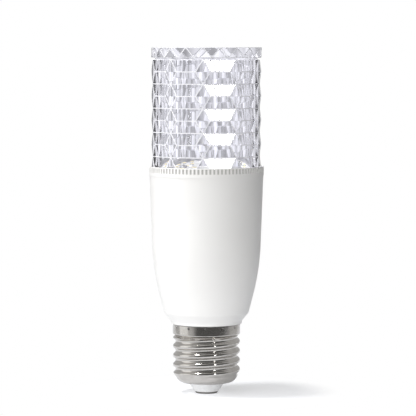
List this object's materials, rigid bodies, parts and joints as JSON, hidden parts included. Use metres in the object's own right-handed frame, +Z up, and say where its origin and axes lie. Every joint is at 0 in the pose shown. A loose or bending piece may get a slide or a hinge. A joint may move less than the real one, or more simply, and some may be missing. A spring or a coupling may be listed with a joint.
{
  "type": "decorative led bulb",
  "caption": "Cylindrical LED bulb with a clear faceted cover, white moulded casing and Edison screw cap; gives sparkling light in a screw lamp holder.",
  "frame": {"origin": "centre of the contact's underside, at the bottom of the bulb's axis", "axes": "+Z up the bulb's axis, from the centre contact to the crown of the clear cover"},
  "size_m": [0.0446, 0.0446, 0.135],
  "materials": {
    "clear_cover": "clear moulded acrylic, polished facets",
    "white_casing": "satin white moulded plastic",
    "drawn_aluminium": "plain drawn sheet",
    "white_board": "white solder mask on an aluminium core",
    "led_body": "white moulded package",
    "phosphor": "yellow silicone with phosphor",
    "terminal_plastic": "white moulded plastic",
    "plated_steel": "zinc plated",
    "green_board": "glass-fibre board with green mask",
    "capacitor_sleeve": "shrunk plastic sleeve",
    "ferrite": "ground ferrite",
    "copper_winding": "enamelled copper wire",
    "black_epoxy": "moulded epoxy",
    "resistor_coat": "fireproof lacquer",
    "red_sleeve": "soft wire insulation",
    "black_sleeve": "soft wire insulation",
    "nickel_shell": "nickel plated rolled sheet",
    "white_insulator": "white moulded insulator",
    "nickel_contact": "nickel plated"
  },
  "bodies": {
    "root": {"crystal_cover": "clear_cover", "casing": "white_casing", "heat_sink_cup": "drawn_aluminium", "led_board": "white_board", "led_packages": "led_body", "led_phosphor": "phosphor", "board_terminal": "terminal_plastic", "board_screws": "plated_steel", "driver_board": "green_board", "input_capacitor": "capacitor_sleeve", "output_capacitor": "capacitor_sleeve", "inductor_core": "ferrite", "inductor_coil": "copper_winding", "driver_chip": "black_epoxy", "bridge_rectifier": "black_epoxy", "fuse_resistor": "resistor_coat", "lead_positive": "red_sleeve", "lead_negative": "black_sleeve", "live_wire": "red_sleeve", "neutral_wire": "black_sleeve", "screw_shell": "nickel_shell", "insulator": "white_insulator", "contact_eyelet": "nickel_contact", "contact_pin": "nickel_contact"}
  },
  "joints": []
}
